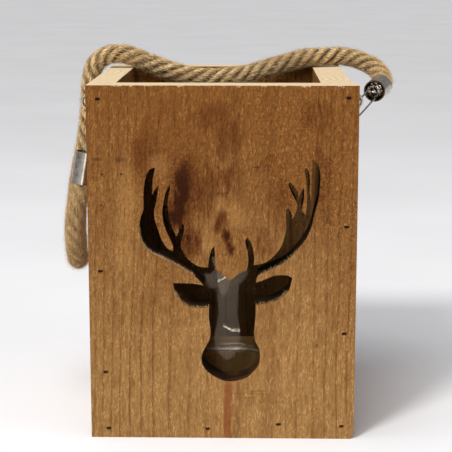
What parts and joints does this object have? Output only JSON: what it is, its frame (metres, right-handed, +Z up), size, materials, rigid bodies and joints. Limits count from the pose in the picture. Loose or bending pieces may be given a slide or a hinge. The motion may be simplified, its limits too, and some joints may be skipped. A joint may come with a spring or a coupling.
{
  "type": "hanging lantern",
  "caption": "Open wooden box lantern with a stag's head cut through its front, a candle glass inside and a rope handle on screw eyes",
  "frame": {"origin": "middle of the box's underside, halfway across the front board and halfway from the front face to the back face", "axes": "+Z up, the front face looks along -Y, +X is the lantern's right as seen from the front"},
  "size_m": [0.2497, 0.19, 0.2594],
  "materials": {
    "wood_front": "rough sawn, honey brown",
    "wood_back": "rough sawn, honey brown",
    "wood_left": "rough sawn, honey brown",
    "wood_right": "rough sawn, honey brown",
    "wood_base": "rough sawn",
    "brad_steel": "dull, in dark holes",
    "clear_glass": "clear",
    "eye_steel": "bright zinc",
    "loop_wire": "bright drawn wire",
    "cap_steel": "polished tube",
    "plug_metal": "rough, bright where it is creased",
    "jute": "hairy natural fibre"
  },
  "bodies": {
    "box": {"front_board": "wood_front", "back_board": "wood_back", "left_board": "wood_left", "right_board": "wood_right", "base_board": "wood_base", "front_brads": "brad_steel", "back_brads": "brad_steel", "left_eye": "eye_steel", "right_eye": "eye_steel", "rope": "jute"},
    "glass": {"glass": "clear_glass"},
    "left_end": {"left_loop": "loop_wire", "left_cap": "cap_steel", "left_plug": "plug_metal"},
    "right_end": {"right_loop": "loop_wire", "right_cap": "cap_steel", "right_plug": "plug_metal"}
  },
  "joints": [
    {"name": "glass_lift", "type": "slide", "parent": "box", "child": "glass", "axis": [0, 0, 1], "range_m": [0, 0.24]},
    {"name": "left_swing", "type": "hinge", "parent": "box", "child": "left_end", "pos_m": [-0.099, 0, 0.2168], "axis": [1, 0, 0], "range_deg": [-15, 15], "deforming": ["rope"]},
    {"name": "right_swing", "type": "hinge", "parent": "box", "child": "right_end", "pos_m": [0.0961, 0, 0.218], "axis": [0.866, 0, 0.5], "range_deg": [-10, 10], "deforming": ["rope"]}
  ]
}
